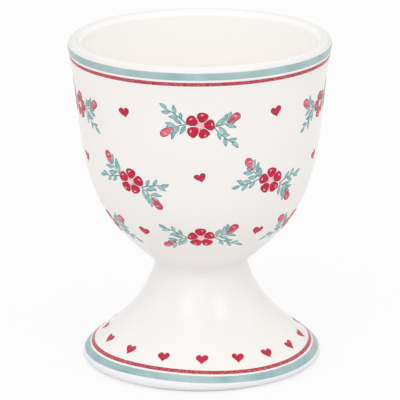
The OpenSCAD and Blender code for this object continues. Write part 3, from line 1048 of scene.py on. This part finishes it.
# Strength of the white sky at the horizon and overhead
SKY_LOW, SKY_HIGH = 0.73, 1.08
# The floor: half its width, its grey, and the share of plain white that the camera sees on it
FLOOR_HALF, FLOOR_GREY, FLOOR_GLOW = 3.0, 0.85, 0.8


def build_camera():
    data = bpy.data.cameras.new("camera")
    data.sensor_width = SENSOR_W
    data.lens = FOCAL_PIXELS / PICTURE_PIXELS * SENSOR_W
    camera = bpy.data.objects.new("camera", data)
    camera.matrix_world = (Matrix.Translation((CAMERA_SIDE, -CAMERA_AWAY, CAMERA_UP))
                           @ Matrix.Rotation(math.radians(90 - CAMERA_DOWN), 4, "X")
                           @ Matrix.Rotation(math.radians(CAMERA_ROLL), 4, "Z"))
    bpy.context.scene.collection.objects.link(camera)
    bpy.context.scene.camera = camera


def build_lamp(name, turn, rise, away, size, power):
    """A round soft box aimed at the cup, at a turn from the front and a rise, both in degrees."""
    data = bpy.data.lights.new(name, "AREA")
    data.shape = "ELLIPSE"
    data.size, data.size_y = size, size
    data.energy = power
    lamp = bpy.data.objects.new(name, data)
    a, b = math.radians(turn), math.radians(rise)
    lamp.location = (away * math.sin(a) * math.cos(b), -away * math.cos(a) * math.cos(b),
                     away * math.sin(b) + CUP_H * MM / 2)
    lamp.rotation_euler = (math.radians(90 - rise), 0, a)
    bpy.context.scene.collection.objects.link(lamp)


def build_world():
    """White light that grows from the horizon to overhead. The camera sees plain white."""
    world = bpy.data.worlds.new("studio")
    world.use_nodes = True
    tree = world.node_tree
    back = tree.nodes["Background"]
    back.inputs["Color"].default_value = (1, 1, 1, 1)
    place = tree.nodes.new("ShaderNodeTexCoord")
    split = tree.nodes.new("ShaderNodeSeparateXYZ")
    dome = tree.nodes.new("ShaderNodeMapRange")
    dome.interpolation_type = "SMOOTHSTEP"
    dome.inputs["To Min"].default_value = SKY_LOW
    dome.inputs["To Max"].default_value = SKY_HIGH
    rays = tree.nodes.new("ShaderNodeLightPath")
    level = tree.nodes.new("ShaderNodeMapRange")
    level.inputs["To Max"].default_value = 1.0
    tree.links.new(place.outputs["Generated"], split.inputs[0])
    tree.links.new(split.outputs["Z"], dome.inputs["Value"])
    tree.links.new(rays.outputs["Is Camera Ray"], level.inputs["Value"])
    tree.links.new(dome.outputs["Result"], level.inputs["To Min"])
    tree.links.new(level.outputs["Result"], back.inputs["Strength"])
    bpy.context.scene.world = world


def build_floor():
    """A plain white floor that keeps a faint shadow of the cup."""
    square = [(x * FLOOR_HALF, y * FLOOR_HALF, 0) for x, y in ((-1, -1), (1, -1), (1, 1), (-1, 1))]
    mesh = bpy.data.meshes.new("floor")
    mesh.from_pydata(square, [], [(0, 1, 2, 3)])
    floor = bpy.data.objects.new("floor", mesh)
    bpy.context.scene.collection.objects.link(floor)
    material = bpy.data.materials.new("floor")
    material.use_nodes = True
    tree = material.node_tree
    out = tree.nodes["Material Output"]
    matte = tree.nodes["Principled BSDF"]
    matte.inputs["Base Color"].default_value = (FLOOR_GREY, FLOOR_GREY, FLOOR_GREY, 1)
    matte.inputs["Roughness"].default_value = 0.9
    matte.inputs["Specular IOR Level"].default_value = 0.0
    glow = tree.nodes.new("ShaderNodeEmission")
    glow.inputs["Strength"].default_value = 1.0
    blend = tree.nodes.new("ShaderNodeMixShader")
    rays = tree.nodes.new("ShaderNodeLightPath")
    share = tree.nodes.new("ShaderNodeMath")
    share.operation = "MULTIPLY"
    share.inputs[1].default_value = FLOOR_GLOW
    tree.links.new(rays.outputs["Is Camera Ray"], share.inputs[0])
    tree.links.new(share.outputs[0], blend.inputs[0])
    tree.links.new(matte.outputs[0], blend.inputs[1])
    tree.links.new(glow.outputs[0], blend.inputs[2])
    tree.links.new(blend.outputs[0], out.inputs["Surface"])
    mesh.materials.append(material)


build_object()
build_camera()
build_world()
build_lamp("left_box", turn=-28, rise=40, away=0.9, size=0.34, power=0.28)
build_lamp("right_box", turn=42, rise=40, away=0.9, size=0.34, power=0.5)
build_lamp("front_sheet", turn=-18, rise=38, away=1.2, size=1.2, power=1.75)
build_floor()
bpy.context.scene.view_settings.view_transform = "Standard"
